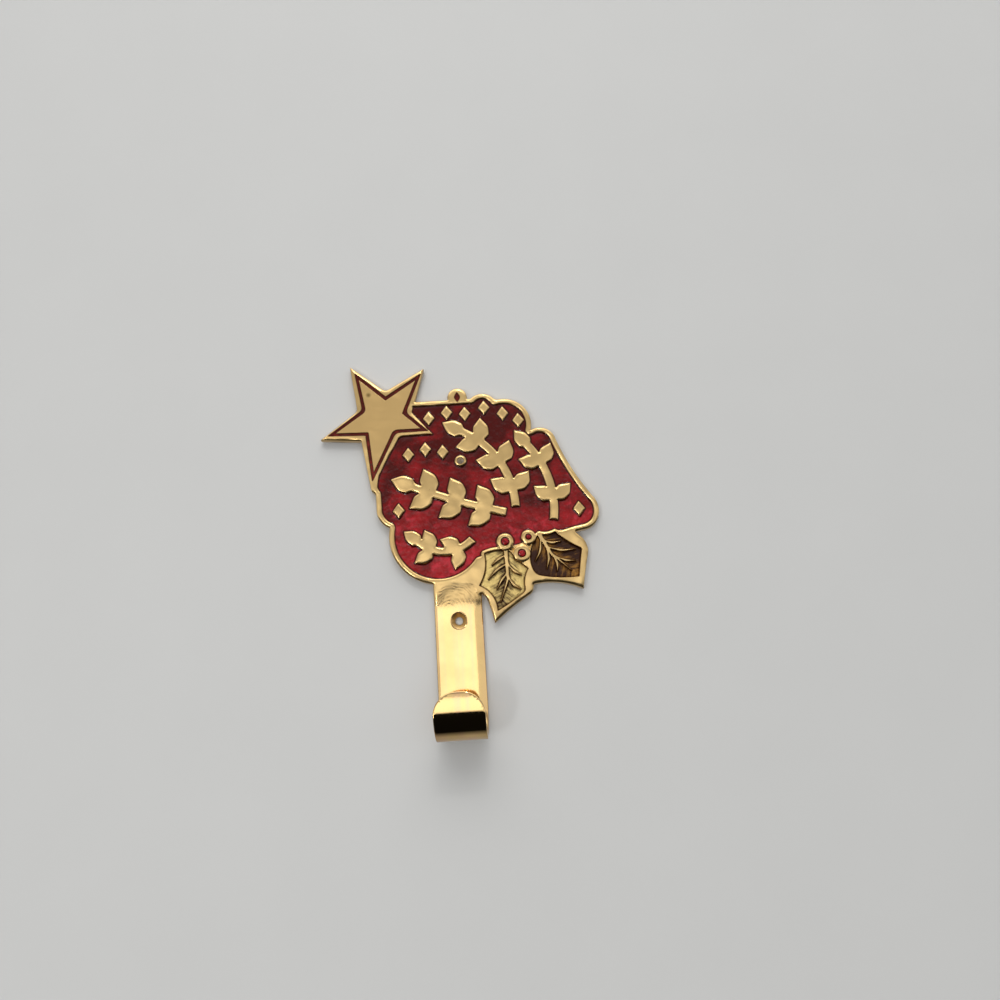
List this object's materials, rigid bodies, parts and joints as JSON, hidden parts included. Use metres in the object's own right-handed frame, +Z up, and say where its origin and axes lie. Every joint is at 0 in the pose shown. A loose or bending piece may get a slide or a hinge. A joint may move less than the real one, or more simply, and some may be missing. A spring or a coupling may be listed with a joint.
{
  "type": "stocking holder",
  "caption": "Cast brass stocking holder with a sunk red enamelled plaque, star, holly leaves and berries, and a screw-fixed strap bent into a J hook.",
  "frame": {"origin": "axis of the lower, countersunk screw hole at the back face", "axes": "+Z up along the strap, -Y out of the wall towards the viewer, +X to the viewer's right; the back face lies on Y = 0"},
  "size_m": [0.1425, 0.0275, 0.1945],
  "materials": {
    "brass": "polished casting",
    "red_enamel": "glossy translucent enamel",
    "dark_red_enamel": "thin enamel line",
    "leaf_lacquer": "amber-brown lacquer"
  },
  "bodies": {
    "root": {"brass_casting": "brass", "field_enamel": "red_enamel", "star_enamel": "dark_red_enamel", "tab_enamel": "dark_red_enamel", "berry_enamel_1": "red_enamel", "berry_enamel_2": "red_enamel", "berry_enamel_3": "red_enamel", "near_leaf_lacquer": "leaf_lacquer", "far_leaf_lacquer": "leaf_lacquer"}
  },
  "joints": []
}
